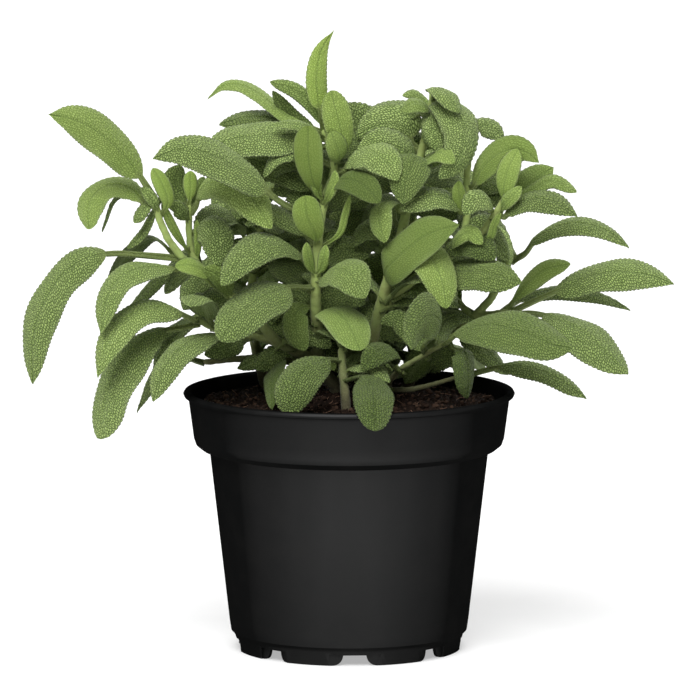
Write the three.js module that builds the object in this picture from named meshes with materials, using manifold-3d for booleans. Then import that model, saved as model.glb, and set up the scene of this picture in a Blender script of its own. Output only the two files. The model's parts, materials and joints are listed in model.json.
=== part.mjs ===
// A potted common sage: a black nursery pot, its compost, five rooted plants and their leaves.
// Millimetres, +Z up. The origin is the middle of the pot's foot, and -Y is the pot's front.
import * as THREE from "three";
import { mergeVertices } from "three/addons/utils/BufferGeometryUtils.js";
import Module from "manifold-3d";

const wasm = await Module();
wasm.setup();

// ---- Driving dimensions ----
const GAP = 0.35; // clearance between pieces that touch in the real plant
const SOCKET_GAP = 0.6; // round each stem where it stands in the compost
const POT_HEIGHT = 102;
const RIM_RADIUS = 65; // outer edge of the rolled lip
const FOOT_RADIUS = 44; // outer edge of the foot, where it stands
const SHOULDER_RADIUS = 54.7; // top of the tapered body, under the collar
const COLLAR_HEIGHT = 23;
const POT_WALL = 1.2;
const STEP_HEIGHT = 7.4; // the body steps in to the foot here
const FLOOR_TOP = 6.2;
const POT_SIDES = 48;
const SOIL_EDGE = 96; // compost level at the pot's wall
const SOIL_RISE = 2.4; // how much higher it lies in the middle
const NOTCH_COUNT = 8;
const NOTCH_HEIGHT = 4.6;
const LEAF_THICKNESS = 1.0;
const PETIOLE_HALF_WIDTH = 1.0;
const PETIOLE_STANDOFF = 1.6; // a petiole leaves its stem square for this far
const STEM_SIDES = 8;

const UP = new THREE.Vector3(0, 0, 1);
const vector = (point) => new THREE.Vector3(...point);

// ---- Materials ----
const surface = (color, roughness) => new THREE.MeshStandardMaterial({ color, roughness, metalness: 0 });
const POT_PLASTIC = surface(0x1c1d1e, 0.42);
const COMPOST = surface(0x2a1c15, 0.95);
const STEM_BARK = surface(0x7f8a52, 0.8);
const LEAF_GREEN = surface(0x73915a, 0.78);

// ---- Solids ----
function toSolid(geometry) {
  const bare = geometry.clone();
  bare.deleteAttribute("normal");
  bare.deleteAttribute("uv");
  const merged = mergeVertices(bare, 1e-4);
  const triVerts = new Uint32Array(merged.index.array);
  const vertProperties = merged.getAttribute("position").array;
  return new wasm.Manifold(new wasm.Mesh({ numProp: 3, vertProperties, triVerts }));
}

function toGeometry(solid) {
  const mesh = solid.getMesh();
  const geometry = new THREE.BufferGeometry();
  geometry.setAttribute("position", new THREE.BufferAttribute(mesh.vertProperties, 3));
  geometry.setIndex(new THREE.BufferAttribute(mesh.triVerts, 1));
  return geometry;
}

function named(name, geometry, material) {
  const mesh = new THREE.Mesh(geometry, material);
  mesh.name = name;
  return mesh;
}

// A closed skin over rings of equally many points, drawn to one point before and one after them.
function skin(start, rings, end) {
  const count = rings[0].length;
  const points = [start, ...rings.flat(), end];
  const last = points.length - 1;
  const at = (ring, i) => 1 + ring * count + (i % count);
  const faces = [];
  for (let i = 0; i < count; i++) {
    faces.push(0, at(0, i + 1), at(0, i));
    faces.push(last, at(rings.length - 1, i), at(rings.length - 1, i + 1));
    for (let ring = 0; ring + 1 < rings.length; ring++) {
      const [a, b] = [at(ring, i), at(ring, i + 1)];
      const [c, d] = [at(ring + 1, i + 1), at(ring + 1, i)];
      faces.push(a, b, c, a, c, d);
    }
  }
  const geometry = new THREE.BufferGeometry().setFromPoints(points);
  geometry.setIndex(faces);
  return geometry;
}

// ---- Pot ----
const COLLAR_FOOT = POT_HEIGHT - COLLAR_HEIGHT;
const COLLAR_RADIUS = RIM_RADIUS - 4.1; // lower edge of the collar
const LIP_ROOT = RIM_RADIUS - 2.1; // the collar's outside just under the lip

// The pot's outside from its foot to its lip, as [radius, height].
const POT_OUTSIDE = [
  [FOOT_RADIUS, 0],
  [FOOT_RADIUS + 0.8, STEP_HEIGHT - 2],
  [FOOT_RADIUS + 1.5, STEP_HEIGHT - 0.9],
  [FOOT_RADIUS + 2.4, STEP_HEIGHT],
  [FOOT_RADIUS + 3, STEP_HEIGHT + 4],
  [SHOULDER_RADIUS, COLLAR_FOOT - 0.5],
  [SHOULDER_RADIUS + 3.4, COLLAR_FOOT + 0.6],
  [COLLAR_RADIUS - 0.8, COLLAR_FOOT + 2.2],
  [COLLAR_RADIUS, COLLAR_FOOT + 4.5],
  [LIP_ROOT, POT_HEIGHT - 3.4],
  [LIP_ROOT + 0.5, POT_HEIGHT - 2.4],
  [RIM_RADIUS - 0.4, POT_HEIGHT - 2],
  [RIM_RADIUS, POT_HEIGHT - 1.1],
  [RIM_RADIUS - 0.5, POT_HEIGHT - 0.2],
  [RIM_RADIUS - 1.2, POT_HEIGHT],
  [LIP_ROOT - 0.4, POT_HEIGHT],
];

// Its inside from the lip down to the floor, then under the floor and back to the foot.
const POT_INSIDE = [
  [LIP_ROOT - POT_WALL, POT_HEIGHT - 1],
  [LIP_ROOT - POT_WALL - 0.3, POT_HEIGHT - 3.4],
  [COLLAR_RADIUS - POT_WALL, COLLAR_FOOT + 4.9],
  [COLLAR_RADIUS - POT_WALL - 1, COLLAR_FOOT + 3.2],
  [SHOULDER_RADIUS - POT_WALL + 0.8, COLLAR_FOOT + 1.4],
  [SHOULDER_RADIUS - POT_WALL, COLLAR_FOOT],
  [FOOT_RADIUS + 1.4, FLOOR_TOP + 3],
  [FOOT_RADIUS - 0.4, FLOOR_TOP],
  [0, FLOOR_TOP],
  [0, FLOOR_TOP - POT_WALL],
  [FOOT_RADIUS - 2.6, FLOOR_TOP - POT_WALL],
  [FOOT_RADIUS - 2.6, 0],
];

function turned(profile, sides) {
  const points = profile.map(([radius, height]) => new THREE.Vector2(radius, height));
  const geometry = new THREE.LatheGeometry([...points, points[0]], sides);
  return toSolid(geometry.rotateX(Math.PI / 2));
}

// A cutter that reaches outward through the foot, with its outline drawn on the foot's front.
function footCutter(shape, from, to, angle) {
  const cutter = new THREE.ExtrudeGeometry(shape, { depth: to - from, bevelEnabled: false });
  cutter.translate(0, 0, from);
  cutter.rotateX(Math.PI / 2);
  return toSolid(cutter.rotateZ(angle));
}

// A drain notch: a shallow pocket in the foot, and an opening between two rounded lugs behind it.
function drainNotch(angle, width) {
  const half = width / 2;
  const pocket = new THREE.Shape();
  pocket.moveTo(-half, -1).lineTo(half, -1).lineTo(half, NOTCH_HEIGHT).lineTo(-half, NOTCH_HEIGHT);
  const throat = half * 0.45;
  const opening = new THREE.Shape();
  opening.moveTo(-half * 0.86, -1).lineTo(half * 0.86, -1).lineTo(half * 0.86, 0);
  opening.quadraticCurveTo(throat * 1.1, 0.4, throat, NOTCH_HEIGHT - 0.6);
  opening.lineTo(-throat, NOTCH_HEIGHT - 0.6);
  opening.quadraticCurveTo(-throat * 1.1, 0.4, -half * 0.86, 0);
  const reach = FOOT_RADIUS + 4;
  const recess = footCutter(pocket, FOOT_RADIUS - 1.1, reach, angle);
  return recess.add(footCutter(opening, FOOT_RADIUS - 8, reach, angle));
}

// A drain slot through the raised floor, inside each notch.
function drainSlot(angle) {
  const slot = new THREE.BoxGeometry(6, 9, 4).translate(0, -FOOT_RADIUS + 9, FLOOR_TOP - 0.6);
  return toSolid(slot.rotateZ(angle));
}

function buildPot() {
  let pot = turned([...POT_OUTSIDE, ...POT_INSIDE], POT_SIDES);
  for (let i = 0; i < NOTCH_COUNT; i++) {
    const angle = (i * 2 * Math.PI) / NOTCH_COUNT + THREE.MathUtils.degToRad(3);
    pot = pot.subtract(drainNotch(angle, i % 2 === 0 ? 20 : 13)).subtract(drainSlot(angle));
  }
  return pot;
}

// ---- Compost ----
function buildSoil() {
  const clear = GAP + 0.1;
  return turned(
    [
      [0, FLOOR_TOP + GAP],
      [FOOT_RADIUS - 0.8, FLOOR_TOP + GAP],
      [FOOT_RADIUS + 1.2 - clear, FLOOR_TOP + 3.2],
      [SHOULDER_RADIUS - POT_WALL - clear, COLLAR_FOOT + 0.2],
      [SHOULDER_RADIUS - POT_WALL + 0.4 - clear, COLLAR_FOOT + 1.8],
      [COLLAR_RADIUS - POT_WALL - 1.3 - clear, COLLAR_FOOT + 3.7],
      [COLLAR_RADIUS - POT_WALL - 0.2 - clear, COLLAR_FOOT + 5.3],
      [LIP_ROOT - POT_WALL - 1 - clear, SOIL_EDGE - 1.2],
      [LIP_ROOT - POT_WALL - 3, SOIL_EDGE],
      [42, SOIL_EDGE + 0.25 * SOIL_RISE],
      [20, SOIL_EDGE + 0.85 * SOIL_RISE],
      [0, SOIL_EDGE + SOIL_RISE],
    ],
    36,
  );
}

// ---- Stems ----
// A stem or branch: the points it passes through, and its radius at the foot and at the tip.
function buildBranch({ path, foot, tip }, extra = 0) {
  const curve = new THREE.CatmullRomCurve3(path.map(vector), false, "centripetal");
  const steps = Math.max(3, Math.round(curve.getLength() / 9));
  const frames = curve.computeFrenetFrames(steps, false);
  const rings = [];
  for (let i = 0; i <= steps; i++) {
    const centre = curve.getPointAt(i / steps);
    const radius = THREE.MathUtils.lerp(foot, tip, i / steps) + extra;
    const ring = [];
    for (let k = 0; k < STEM_SIDES; k++) {
      const turn = (k * 2 * Math.PI) / STEM_SIDES;
      const side = frames.normals[i].clone().multiplyScalar(radius * Math.cos(turn));
      side.addScaledVector(frames.binormals[i], radius * Math.sin(turn));
      ring.push(centre.clone().add(side));
    }
    rings.push(ring);
  }
  const past = (tip + extra) * 0.8;
  const start = curve.getPointAt(0).addScaledVector(frames.tangents[0], -past);
  const end = curve.getPointAt(1).addScaledVector(frames.tangents[steps], past);
  return toSolid(skin(start, rings, end));
}

const joined = (solids) => solids.reduce((sum, solid) => sum.add(solid));

// The nearest place on a plant's branches to a point: its centre, direction and stem radius, and
// whether it is a branch's tip.
function nearestOnStem(branches, point) {
  const samples = 200;
  let best = null;
  for (const { path, foot, tip } of branches) {
    const curve = new THREE.CatmullRomCurve3(path.map(vector), false, "centripetal");
    for (let i = 0; i <= samples; i++) {
      const share = i / samples;
      const centre = curve.getPointAt(share);
      const distance = centre.distanceTo(point);
      if (best && best.distance <= distance) continue;
      const radius = THREE.MathUtils.lerp(foot, tip, share);
      best = { centre, distance, radius, along: curve.getTangentAt(share), isTip: share === 1 };
    }
  }
  return best;
}

// ---- Leaves ----
// Half-width of the blade as a share of its widest, from its base (0) to its tip (1).
const bladeOutline = (share) => Math.sin(Math.PI * share ** 0.88) ** 0.62;
const BLADE_STATIONS = [0.04, 0.16, 0.33, 0.5, 0.67, 0.83, 0.95];
const EDGE_DROP = 0.12; // the edges hang this share of the half-width below the midrib

// Six points round the leaf: edge, three over the top, edge, and the rib underneath.
function leafRing(centre, across, normal, half) {
  const drop = half > PETIOLE_HALF_WIDTH ? EDGE_DROP * half : 0;
  const thick = LEAF_THICKNESS;
  const section = [
    [-half, -drop],
    [-half / 2, 0.3 * thick - 0.35 * drop],
    [0, 0.2 * thick],
    [half / 2, 0.3 * thick - 0.35 * drop],
    [half, -drop],
    [0, -0.8 * thick],
  ];
  return section.map(([x, y]) =>
    centre.clone().addScaledVector(across, x).addScaledVector(normal, y),
  );
}

// The direction closest to one way that is square to another.
const squared = (way, along) => way.clone().addScaledVector(along, -way.dot(along)).normalize();

// The way the leaf's upper side looks at each ring. It is set at the blade's middle and carried
// from there to both ends without a twist.
function upperSides(face, tangents) {
  const middle = 2 + BLADE_STATIONS.indexOf(0.5);
  const normals = [];
  normals[middle] = squared(face, tangents[middle]);
  for (let i = middle - 1; i >= 0; i--) normals[i] = squared(normals[i + 1], tangents[i]);
  for (let i = middle + 1; i < tangents.length; i++) normals[i] = squared(normals[i - 1], tangents[i]);
  return normals;
}

// A leaf grows along its spine from a stem. face is the way its upper side looks.
function buildLeaf(leaf, branches, shift) {
  const guides = leaf.spine.map(vector);
  const node = nearestOnStem(branches, guides[0]);
  const towards = guides[1].clone().sub(node.centre).normalize();
  const out = node.isTip && towards.dot(node.along) > 0 ? towards : squared(towards, node.along);
  const base = node.centre.clone().addScaledVector(out, node.radius + GAP);
  const heel = base.clone().addScaledVector(out, PETIOLE_STANDOFF);
  const rest = guides.slice(1).map((point, i) => {
    return point.addScaledVector(shift, (i + 1) / (guides.length - 1));
  });
  const spine = new THREE.CatmullRomCurve3([base, heel, ...rest], false, "centripetal");
  const petiole = leaf.petiole ?? 0.1;
  const shares = [0, petiole * 0.6, ...BLADE_STATIONS.map((s) => petiole + s * (1 - petiole))];
  const tangents = shares.map((share) => spine.getTangentAt(share));
  const normals = upperSides(vector(leaf.face), tangents);
  const rings = shares.map((share, i) => {
    const across = tangents[i].clone().cross(normals[i]);
    const blade = i < 2 ? 0 : (leaf.width / 2) * bladeOutline(BLADE_STATIONS[i - 2]);
    return leafRing(spine.getPointAt(share), across, normals[i], Math.max(PETIOLE_HALF_WIDTH, blade));
  });
  return skin(base, rings, spine.getPointAt(1));
}

// Ways to swing a leaf's tip aside, nearest first, until it clears the leaves already placed.
const SWINGS = [new THREE.Vector3()];
for (let reach = 2; reach <= 16; reach += 2) {
  for (const way of [[0, 1, 0], [0, -1, 0], [0, 0, 1], [0, 0, -1], [1, 0, 0], [-1, 0, 0]]) {
    SWINGS.push(vector(way).multiplyScalar(reach));
  }
}

const boxesMeet = (a, b) =>
  [0, 1, 2].every((axis) => a.min[axis] < b.max[axis] && b.min[axis] < a.max[axis]);

function placeLeaf(leaf, branches, placed) {
  for (const shift of SWINGS) {
    const geometry = buildLeaf(leaf, branches, shift);
    const solid = toSolid(geometry);
    const box = solid.boundingBox();
    const blocked = placed.some(
      (other) => boxesMeet(box, other.box) && solid.minGap(other.solid, GAP) < GAP * 0.6,
    );
    if (!blocked) {
      placed.push({ solid, box });
      return geometry;
    }
  }
  throw new Error("a leaf finds no room");
}

// ---- The plants ----
// Each plant is one stem with its branches, rooted in the compost, and the leaves it carries.
// A leaf's spine runs from beside its stem to its tip.
const MIDDLE = {
  name: "middle_stem",
  branches: [
    {
      path: [[-2, 22, 84], [-4, 20, 98], [-12, 15, 110], [-12, 9, 118.5], [-13, 4, 132.5], [-13, 2, 147],
        [-12, 3, 162], [-10, 4, 175.5], [-5, 6, 190], [-10, 7, 203]],
      foot: 2.6,
      tip: 1.2,
    },
    {
      path: [[-12, 13, 113], [-26, 9, 118], [-38, 4, 131.5], [-55, -2, 146.3], [-66, -5, 155.7],
        [-73, -6, 167], [-76, -6, 179]],
      foot: 1.9,
      tip: 1.1,
    },
    { path: [[-54, -1.6, 146], [-60, 2, 152], [-62.5, 4, 160], [-62.5, 5, 174]], foot: 1.4, tip: 1 },
    { path: [[-20, 11, 115.7], [-35, 8, 121.9], [-47, 4, 123.9], [-60, -3, 130.4]], foot: 1.5, tip: 1.1 },
    { path: [[-11, 15.5, 109.5], [-22, 18, 110.5], [-40, 24, 111.2], [-57, 28, 109]], foot: 1.4, tip: 1 },
  ],
  leaves: [
    { spine: [[-68, -6, 154], [-82, -9, 157], [-95, -12, 157.5], [-105, -14, 155], [-116, -16, 144],
      [-123, -17, 127], [-123.5, -17, 106.5]], width: 16, face: [-0.5, -0.8, 0.6], petiole: 0.25 },
    { spine: [[-66, -1, 156], [-77, 4, 162.4], [-90, 8, 152], [-95, 10, 137], [-96.5, 11, 121.5]],
      width: 11, face: [-0.6, 0.5, 0.6] },
    { spine: [[-66, -6, 151], [-75, -12, 152.5], [-84, -17, 152], [-91, -20, 147.5], [-95, -22, 139],
      [-96.5, -23, 127]], width: 11, face: [-0.4, -0.6, 0.7] },
    { spine: [[-60, -4, 131], [-68, -10, 135], [-78, -16, 137], [-88, -20, 132], [-95, -22, 121.5],
      [-98, -23, 110]], width: 14, face: [-0.4, -0.7, 0.6] },
    { spine: [[-60, -1, 129], [-72, -5, 127], [-84, -9, 120], [-93.5, -12, 106], [-98, -13, 84.5]],
      width: 19, face: [-0.6, -0.6, 0.4], petiole: 0.2 },
    { spine: [[-48, 3, 124.5], [-55, -11, 126], [-64, -25, 123.5], [-72, -34, 115], [-76, -38, 103]],
      width: 14, face: [-0.4, -0.7, 0.5] },
    { spine: [[-57, 28, 109], [-66, 30, 111], [-77, 32, 104], [-84.5, 33, 88]],
      width: 11, face: [-0.6, -0.4, 0.6] },
    { spine: [[-76, -6, 179], [-83, -11, 190.5], [-93, -18, 202.5], [-105, -25, 211], [-116, -30, 214]],
      width: 17, face: [-0.1, -0.8, 0.5], petiole: 0.15 },
    { spine: [[-76, -5, 176], [-86, -5, 183], [-95, -6, 183.5], [-101.5, -8, 177], [-101.5, -9, 166.5]],
      width: 12, face: [-0.3, -0.5, 0.8] },
    { spine: [[-10, 4, 171], [-20, -6, 173.5], [-30, -14, 181], [-40, -21, 190], [-53, -27, 198],
      [-65, -31, 200.5], [-76, -33, 197]], width: 16, face: [0, -0.75, 0.6], petiole: 0.35 },
    { spine: [[-62.5, 5, 172], [-58, -2, 182], [-50, -8, 186.5], [-40, -12, 182], [-30, -15, 167.6]],
      width: 15, face: [0.2, -0.7, 0.6], petiole: 0.15 },
    { spine: [[-10, 7, 201], [-20, 4, 202], [-32, 1, 202.7], [-45, -2, 201.5], [-58, -4, 196.5]],
      width: 17, face: [-0.1, -0.7, 0.7] },
    { spine: [[-10, 8, 203], [-24, 13, 208.5], [-36, 17, 217.5], [-47, 19, 221], [-56, 20, 214.5]],
      width: 9.5, face: [-0.2, -0.3, 1] },
    { spine: [[-10, 7, 203], [-11, 5, 210], [-12.5, 4, 225], [-10.5, 3, 236], [-5.5, 2, 243.7]],
      width: 9, face: [0.3, -1, 0.1], petiole: 0.2 },
    { spine: [[-5, 6, 192], [-2.5, 0, 199], [-4, -3, 209], [-7, -4, 220.4]],
      width: 12, face: [0.3, -1, 0.1], petiole: 0.15 },
    { spine: [[-10, 4, 177], [-14, -3, 184], [-16, -6, 195], [-16, -7, 207]],
      width: 11, face: [-0.2, -1, 0.1] },
    { spine: [[-12, 3, 160], [-13, -5, 164], [-16, -9, 171], [-17, -11, 180]],
      width: 11, face: [-0.1, -1, 0.2] },
    { spine: [[-13, 2, 146], [-8, -10, 150.5], [-1, -20, 152], [6.5, -27, 142]],
      width: 16, face: [0.1, -0.8, 0.6] },
    { spine: [[-13, 4, 131], [-8, -8, 135.5], [-1, -20, 132.5], [4.5, -30, 122]],
      width: 16, face: [0.3, -0.8, 0.4] },
    { spine: [[-12, 3, 152], [-22, -6, 159], [-31, -16, 163], [-42, -24, 157], [-49.5, -29, 147]],
      width: 14, face: [-0.2, -0.8, 0.5] },
    { spine: [[-13, 2, 143], [-23, -12, 144.5], [-34, -23, 142], [-43.5, -31, 135], [-50, -36, 126.5]],
      width: 17, face: [-0.2, -0.8, 0.5] },
    { spine: [[-6, 6, 188], [1, 0, 194], [9, -7, 197], [15, -12, 193], [19, -15, 186.5]],
      width: 14, face: [0.1, -0.8, 0.6] },
    { spine: [[-9, 5, 181], [-3, -5, 186], [5, -12, 185], [12, -16, 178]],
      width: 11, face: [0.1, -0.8, 0.5] },
    { spine: [[-26, 19, 110], [-28, 4, 112], [-30, -16, 110], [-30, -34, 99.5]],
      width: 9, face: [-0.5, -0.6, 0.6] },
  ],
};

const FRONT = {
  name: "front_stem",
  branches: [
    { path: [[-1, -26, 84], [-1, -26, 98], [-2, -24, 108], [-3, -20, 121]], foot: 2.2, tip: 1.3 },
  ],
  leaves: [
    { spine: [[-3, -21, 117], [-9, -29, 118.5], [-16, -38, 116.5], [-21.5, -45, 109], [-23.5, -49, 99.5]],
      width: 17, face: [-0.3, -0.9, 0.3], petiole: 0.15 },
    { spine: [[0, -24, 110], [6, -34, 113], [9, -48, 111], [9.5, -62, 108], [10, -73, 97]],
      width: 20, face: [0, -0.8, 0.6], petiole: 0.2 },
  ],
};

const RIGHT = {
  name: "right_stem",
  branches: [
    {
      path: [[7, 14, 84], [8, 13, 98], [9, 10, 119], [12, 6, 133], [16, 4, 147.5], [20, 5, 161],
        [23, 6, 174], [27, 8, 190], [31, 10, 205], [33, 11, 218]],
      foot: 2.5,
      tip: 1.2,
    },
    {
      path: [[11.5, 6.5, 132], [26, 2, 146], [40, -2, 156], [50, -4, 162.6], [57, -5, 172], [62, -6, 180]],
      foot: 1.8,
      tip: 1.1,
    },
    { path: [[42, -2.4, 157.3], [46, 2, 167], [46, 5, 184], [48, 6, 205]], foot: 1.4, tip: 1 },
  ],
  leaves: [
    { spine: [[15, 4, 146], [14, -8, 150], [22, -14, 159], [32, -17, 166.5], [43, -19, 169.7]],
      width: 16, face: [-0.3, -0.8, 0.5] },
    { spine: [[17, 4, 150], [22, -6, 157.5], [30, -13, 158], [36, -18, 149], [38, -20, 136.8]],
      width: 14, face: [0.4, -0.8, 0.4] },
    { spine: [[23, 6, 172], [17, -1, 177], [12, -6, 175], [12, -9, 168], [14, -10, 161.4]],
      width: 9, face: [-0.6, -0.6, 0.5] },
    { spine: [[27, 8, 189], [27, -3, 195], [25, -11, 193], [22, -15, 186], [21, -16, 177]],
      width: 13, face: [-0.1, -1, 0.3] },
    { spine: [[28, 9, 196], [22, 14, 204], [13, 16, 205], [3, 17, 200.6]],
      width: 11, face: [-0.1, -0.5, 0.8], petiole: 0.2 },
    { spine: [[33, 11, 215], [37, 5, 216], [43, -2, 211], [45, -6, 201], [41, -9, 192], [35, -10, 186.5]],
      width: 15, face: [0.6, -0.8, 0.3] },
    { spine: [[32, 11, 209], [22, 20, 211], [10, 26, 209], [2, 28, 204]],
      width: 12, face: [-0.1, -0.3, 1] },
    { spine: [[30, 9, 199], [29, 1, 203], [34, -1, 206], [40, 2, 206]],
      width: 15, face: [0.1, -0.8, 0.6] },
    { spine: [[46, 4, 181], [52, -2, 190], [60, -7, 197], [67, -10, 198], [74, -12, 193]],
      width: 11, face: [0.1, -0.8, 0.5] },
    { spine: [[62, -6, 179], [68, -2, 182], [74, 1, 186], [80, 2, 189.7]],
      width: 8, face: [0.1, -0.8, 0.5] },
    { spine: [[60, -5, 171], [67, -10, 178], [77, -13, 179], [84, -15, 176], [89, -16, 172.5]],
      width: 11, face: [0.3, -0.7, 0.7] },
    { spine: [[46, 3, 172], [40, -3, 178], [32, -7, 180], [24, -9, 177], [20, -9, 174]],
      width: 10, face: [-0.2, -0.7, 0.7] },
    { spine: [[34, 0, 151.5], [42, -8, 150], [51, -14, 151], [60, -18, 149], [67.5, -20, 147]],
      width: 13, face: [0, -0.8, 0.6] },
    { spine: [[38, -1, 155], [44, -6, 161], [51, -10, 159.5], [57, -12, 153]],
      width: 9, face: [0.1, -0.8, 0.6] },
  ],
};

const LOW_RIGHT = {
  name: "low_right_stem",
  branches: [
    {
      path: [[13, -1, 84], [14, -2, 98], [16, -4, 103], [24, -7, 103], [42, -10, 108.4]],
      foot: 2.1,
      tip: 1.1,
    },
    { path: [[14, -2.5, 100], [17, -9, 109], [27, -14, 116.5], [40, -18, 124.5]], foot: 1.7, tip: 1.1 },
  ],
  leaves: [
    { spine: [[38, -17, 123.5], [44, -24, 129], [54, -34, 132.5], [66, -43, 131.5], [77, -50, 127.5],
      [86, -54, 126]], width: 19, face: [0.1, -0.8, 0.6], petiole: 0.12 },
    { spine: [[42, -10, 108.4], [52, -14, 112], [64, -19, 114.5], [78, -24, 112], [92.5, -28, 102.7]],
      width: 10, face: [0.2, -0.6, 0.8], petiole: 0.3 },
    { spine: [[31, -15, 118.5], [36, -26, 130.5], [31, -37, 137], [26, -44, 131.5], [24, -48, 124.7]],
      width: 12, face: [-0.3, -0.9, 0.4] },
    { spine: [[20, -11, 112.5], [17, -22, 122], [11, -30, 121.5], [5, -35, 114.9]],
      width: 9, face: [-0.2, -0.8, 0.5] },
    { spine: [[40, -17, 123], [45, -20, 120], [46.5, -23, 112], [46, -24, 102]],
      width: 15, face: [0.5, -0.2, 0.6] },
  ],
};

const BACK_RIGHT = {
  name: "back_right_stem",
  branches: [
    {
      path: [[20, 36, 84], [22, 38, 97], [34, 36, 112], [46, 33, 124], [54, 30, 131],
        [60, 28, 142], [64, 27, 151]],
      foot: 2.3,
      tip: 1.1,
    },
    { path: [[49, 32, 126.6], [56, 28, 128], [63, 24, 129.6]], foot: 1.4, tip: 1.1 },
    {
      path: [[24, 38, 100], [26, 46, 120], [28, 50, 140], [26, 50, 160], [24, 46, 178]],
      foot: 1.8,
      tip: 1.1,
    },
  ],
  leaves: [
    { spine: [[64, 27, 150], [72, 24, 157.5], [82, 22, 164], [92, 20, 165.5],
      [102, 18, 162.5], [110.5, 17, 156]], width: 11, face: [0.2, -0.5, 0.8], petiole: 0.2 },
    { spine: [[63, 24, 129.6], [72, 20, 134.5], [82, 16, 139.5], [94, 12, 145.5], [106, 8, 148],
      [117, 5, 147], [127.5, 3, 143.5]], width: 15, face: [0, -0.7, 0.7], petiole: 0.28 },
    { spine: [[63, 24, 129], [72, 14, 131], [82, 4, 129.5], [93, -5, 124.5], [102, -11, 116.5],
      [109, -15, 110.5]], width: 18, face: [0.3, -0.7, 0.6], petiole: 0.33 },
    { spine: [[59, 26, 129], [70, 38, 134], [86, 42, 136.5], [101, 42, 133.5], [112, 41, 128]],
      width: 11, face: [0, -0.4, 1], petiole: 0.2 },
    { spine: [[27, 49, 150], [24, 58, 157], [18, 68, 155], [14, 75.5, 142]],
      width: 15, face: [-0.1, 0.8, 0.5] },
  ],
};

const BACK_LEFT = {
  name: "back_left_stem",
  branches: [
    {
      path: [[-31, 44, 84], [-33, 45, 96], [-36, 44, 108], [-38, 42, 118], [-39, 42, 135], [-36, 44, 152],
        [-34, 44, 170]],
      foot: 2.2,
      tip: 1.1,
    },
  ],
  leaves: [
    { spine: [[-38, 43, 138], [-37, 54, 147], [-35, 66, 145], [-33, 75.5, 130]],
      width: 15, face: [0.1, 0.8, 0.5] },
    { spine: [[-37, 43, 118], [-50, 50, 124], [-64, 56, 122], [-76, 60, 108]],
      width: 12, face: [-0.6, 0.4, 0.6] },
  ],
};

const PLANTS = [MIDDLE, FRONT, RIGHT, LOW_RIGHT, BACK_RIGHT, BACK_LEFT];

// ---- The whole part ----
const part = new THREE.Group();
part.name = "potted_sage";

const pot = buildPot();
const stems = PLANTS.map((plant) => joined(plant.branches.map((branch) => buildBranch(branch))));
let soil = buildSoil();
for (const plant of PLANTS) {
  soil = soil.subtract(buildBranch(plant.branches[0], SOCKET_GAP));
}

part.add(named("pot", toGeometry(pot), POT_PLASTIC));
part.add(named("potting_soil", toGeometry(soil), COMPOST));
PLANTS.forEach((plant, i) => part.add(named(plant.name, toGeometry(stems[i]), STEM_BARK)));

const placed = [pot, soil, ...stems].map((solid) => ({ solid, box: solid.boundingBox() }));
for (const plant of PLANTS) {
  plant.leaves.forEach((leaf, i) => {
    const name = `${plant.name.replace("_stem", "")}_leaf_${i + 1}`;
    part.add(named(name, placeLeaf(leaf, plant.branches, placed), LEAF_GREEN));
  });
}

export default part;
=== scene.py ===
"""A potted common sage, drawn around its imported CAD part.

Every CAD leaf is read back as a spine, a width and an upper side, and grown again as a fine
pebbled leaf. Small tip leaves and inner leaves are added on the CAD stems. Lengths are
millimetres until a mesh is made. Heights in the materials, the floor and the camera are metres.
"""

import json
import math
from typing import NamedTuple

import bmesh
import bpy
import numpy as np
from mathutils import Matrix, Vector
from mathutils.bvhtree import BVHTree

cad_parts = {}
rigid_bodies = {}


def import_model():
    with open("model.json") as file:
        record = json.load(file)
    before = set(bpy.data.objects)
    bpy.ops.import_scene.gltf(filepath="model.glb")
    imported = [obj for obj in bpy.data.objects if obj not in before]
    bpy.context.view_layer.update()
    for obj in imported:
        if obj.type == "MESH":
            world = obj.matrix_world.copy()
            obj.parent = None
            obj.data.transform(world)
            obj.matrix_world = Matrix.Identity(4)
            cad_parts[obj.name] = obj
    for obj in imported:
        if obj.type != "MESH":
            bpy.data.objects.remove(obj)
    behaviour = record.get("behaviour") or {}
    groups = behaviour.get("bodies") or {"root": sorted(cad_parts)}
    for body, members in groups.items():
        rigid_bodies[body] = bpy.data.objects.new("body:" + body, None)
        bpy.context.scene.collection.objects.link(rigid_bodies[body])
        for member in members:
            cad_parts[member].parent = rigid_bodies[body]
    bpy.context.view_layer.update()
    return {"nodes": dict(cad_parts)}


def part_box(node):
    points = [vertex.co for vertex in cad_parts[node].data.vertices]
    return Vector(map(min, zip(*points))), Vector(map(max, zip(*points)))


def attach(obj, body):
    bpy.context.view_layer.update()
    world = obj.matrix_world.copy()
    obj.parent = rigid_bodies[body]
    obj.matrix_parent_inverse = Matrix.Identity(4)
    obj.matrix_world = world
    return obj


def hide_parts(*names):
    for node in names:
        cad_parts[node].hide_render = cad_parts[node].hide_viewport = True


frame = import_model()

MM = 0.001
ELEVATION = math.radians(8)  # how far down the photograph looks
TO_PHOTO = Vector((0, -math.cos(ELEVATION), math.sin(ELEVATION)))
NODES = frame["nodes"]
LEAVES = sorted(name for name in NODES if "_leaf_" in name)
STEMS = sorted(name for name in NODES if name.endswith("_stem"))


# ---- Small helpers ----
def unit(vectors):
    """Vectors scaled to length one, along the last axis."""
    return vectors / np.maximum(np.linalg.norm(vectors, axis=-1, keepdims=True), 1e-9)


def squared(way, along):
    """The direction closest to one way that is square to another."""
    return unit(way - (way * along).sum(-1, keepdims=True) * along)


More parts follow.
